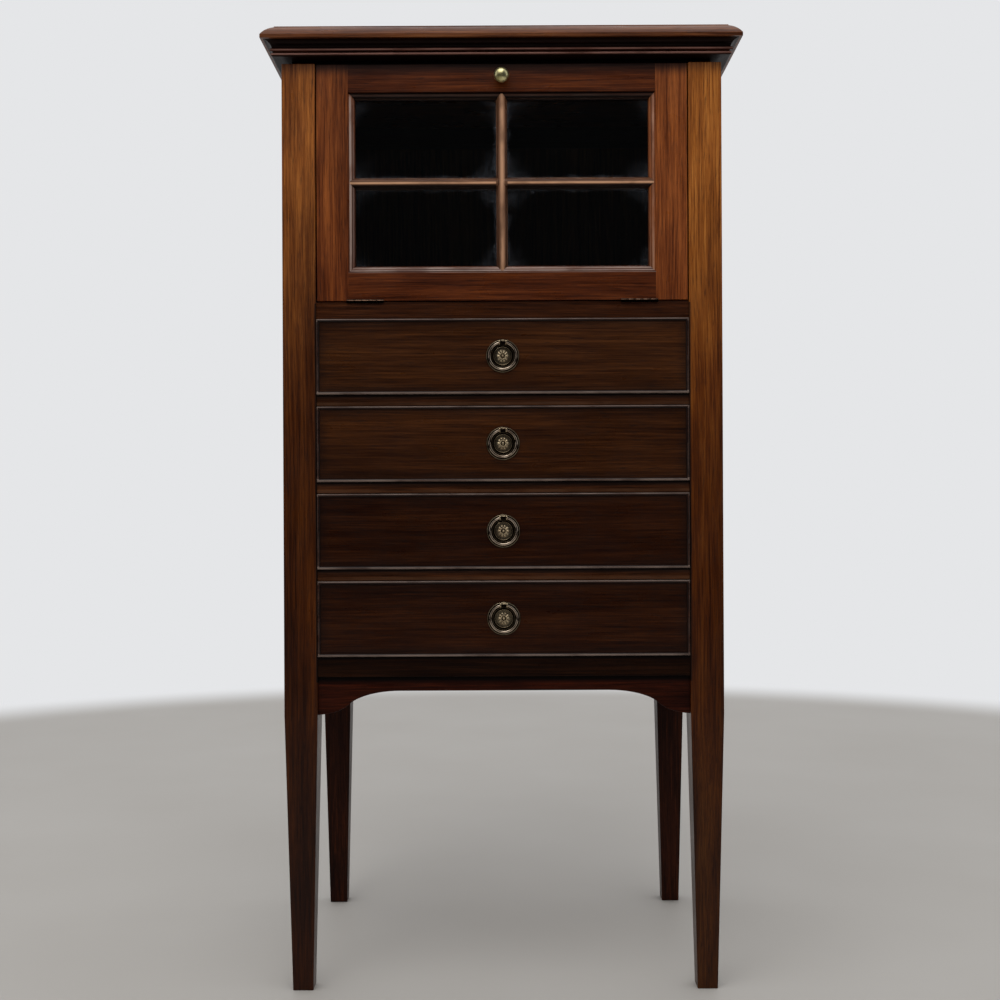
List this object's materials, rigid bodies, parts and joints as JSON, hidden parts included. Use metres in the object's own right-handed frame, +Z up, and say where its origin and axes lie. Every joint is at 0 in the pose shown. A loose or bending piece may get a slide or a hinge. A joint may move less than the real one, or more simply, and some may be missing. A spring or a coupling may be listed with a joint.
{
  "type": "haberdashery cabinet",
  "caption": "Tall narrow mahogany cabinet on tapered square legs: a glazed fall-front cupboard with a brass knob above shallow cockbeaded drawers with brass ring pulls.",
  "frame": {"origin": "on the floor, under the middle of the cabinet's bounding box", "axes": "+Z up, the front with the door and drawers faces -Y, +X to the right as seen from the front"},
  "size_m": [0.515, 0.368, 1.041],
  "materials": {
    "polished_mahogany": "French polished, dark red-brown",
    "carcass_wood": "stained, unpolished",
    "drawer_lining": "planed and waxed",
    "brass": "dulled yellow brass",
    "antique_brass": "dark antique brass",
    "glass": "clear drawn sheet glass"
  },
  "bodies": {
    "carcass": {"front_leg_left": "polished_mahogany", "front_leg_right": "polished_mahogany", "rear_leg_left": "polished_mahogany", "rear_leg_right": "polished_mahogany", "side_panel_left": "polished_mahogany", "side_panel_right": "polished_mahogany", "back_rail": "carcass_wood", "back_panel": "carcass_wood", "rail_under_door": "polished_mahogany", "drawer_rails": "polished_mahogany", "bottom_rail": "polished_mahogany", "apron": "polished_mahogany", "top_frame": "carcass_wood", "cornice_moulding": "polished_mahogany", "top_board": "polished_mahogany", "cupboard_floor": "carcass_wood", "runners_and_guides": "carcass_wood", "drawer_stops": "carcass_wood", "door_stops": "carcass_wood", "stay_guides": "brass", "hinge_leaves_fixed": "brass"},
    "door": {"door_stile_left": "polished_mahogany", "door_stile_right": "polished_mahogany", "door_top_rail": "polished_mahogany", "door_bottom_rail": "polished_mahogany", "glazing_bars": "polished_mahogany", "glass_panes": "glass", "glazing_beads": "polished_mahogany", "hinge_leaves_moving": "brass", "quadrant_stays": "brass"},
    "latch": {"door_knob": "brass", "latch_tongue": "brass"},
    "drawer_1": {"drawer_1_front": "polished_mahogany", "drawer_1_cockbead": "polished_mahogany", "drawer_1_sides": "drawer_lining", "drawer_1_back": "drawer_lining", "drawer_1_bottom": "drawer_lining", "drawer_1_pull_plate": "antique_brass"},
    "ring_1": {"drawer_1_pull_ring": "antique_brass"},
    "drawer_2": {"drawer_2_front": "polished_mahogany", "drawer_2_cockbead": "polished_mahogany", "drawer_2_sides": "drawer_lining", "drawer_2_back": "drawer_lining", "drawer_2_bottom": "drawer_lining", "drawer_2_pull_plate": "antique_brass"},
    "ring_2": {"drawer_2_pull_ring": "antique_brass"},
    "drawer_3": {"drawer_3_front": "polished_mahogany", "drawer_3_cockbead": "polished_mahogany", "drawer_3_sides": "drawer_lining", "drawer_3_back": "drawer_lining", "drawer_3_bottom": "drawer_lining", "drawer_3_pull_plate": "antique_brass"},
    "ring_3": {"drawer_3_pull_ring": "antique_brass"},
    "drawer_4": {"drawer_4_front": "polished_mahogany", "drawer_4_cockbead": "polished_mahogany", "drawer_4_sides": "drawer_lining", "drawer_4_back": "drawer_lining", "drawer_4_bottom": "drawer_lining", "drawer_4_pull_plate": "antique_brass"},
    "ring_4": {"drawer_4_pull_ring": "antique_brass"}
  },
  "joints": [
    {"name": "door_fall", "type": "hinge", "parent": "carcass", "child": "door", "pos_m": [0, -0.164, 0.7462], "axis": [1, 0, 0], "range_deg": [0, 82]},
    {"name": "latch_turn", "type": "hinge", "parent": "door", "child": "latch", "pos_m": [0, -0.164, 0.98684], "axis": [0, -1, 0], "range_deg": [0, 90]},
    {"name": "drawer_1_slide", "type": "slide", "parent": "carcass", "child": "drawer_1", "axis": [0, -1, 0], "range_m": [0, 0.24]},
    {"name": "ring_1_swing", "type": "hinge", "parent": "drawer_1", "child": "ring_1", "pos_m": [0, -0.1669, 0.7009], "axis": [-1, 0, 0], "range_deg": [0, 110]},
    {"name": "drawer_2_slide", "type": "slide", "parent": "carcass", "child": "drawer_2", "axis": [0, -1, 0], "range_m": [0, 0.24]},
    {"name": "ring_2_swing", "type": "hinge", "parent": "drawer_2", "child": "ring_2", "pos_m": [0, -0.1669, 0.6065], "axis": [-1, 0, 0], "range_deg": [0, 110]},
    {"name": "drawer_3_slide", "type": "slide", "parent": "carcass", "child": "drawer_3", "axis": [0, -1, 0], "range_m": [0, 0.24]},
    {"name": "ring_3_swing", "type": "hinge", "parent": "drawer_3", "child": "ring_3", "pos_m": [0, -0.1669, 0.5121], "axis": [-1, 0, 0], "range_deg": [0, 110]},
    {"name": "drawer_4_slide", "type": "slide", "parent": "carcass", "child": "drawer_4", "axis": [0, -1, 0], "range_m": [0, 0.24]},
    {"name": "ring_4_swing", "type": "hinge", "parent": "drawer_4", "child": "ring_4", "pos_m": [0, -0.1669, 0.4177], "axis": [-1, 0, 0], "range_deg": [0, 110]}
  ]
}
